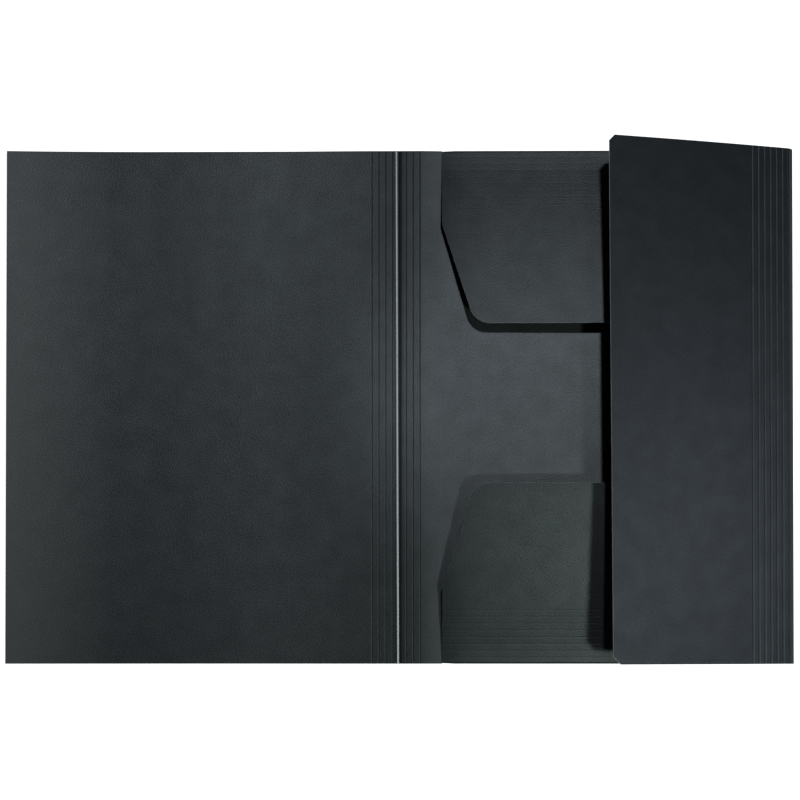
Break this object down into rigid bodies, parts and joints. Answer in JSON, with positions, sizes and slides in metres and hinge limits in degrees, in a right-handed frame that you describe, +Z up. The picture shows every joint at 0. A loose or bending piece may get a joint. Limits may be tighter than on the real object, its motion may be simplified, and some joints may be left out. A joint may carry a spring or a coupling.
{
  "type": "three flap folder",
  "caption": "Open document folder of dark grey card, cut and folded from one sheet, with scored folds, two end flaps and a full height side flap over the paper space.",
  "frame": {"origin": "middle of the spread folder's box, on the surface it lies on, which is on the spine's worn fold", "axes": "+X across the spread folder from the open cover to the side flap, +Y along the spine to the top edge, +Z up out of the panels"},
  "size_m": [0.487, 0.318, 0.0543],
  "materials": {
    "card": "matte, finely fibrous, solid coloured card"
  },
  "bodies": {
    "root": {"folded_card_sheet": "card"}
  },
  "joints": []
}
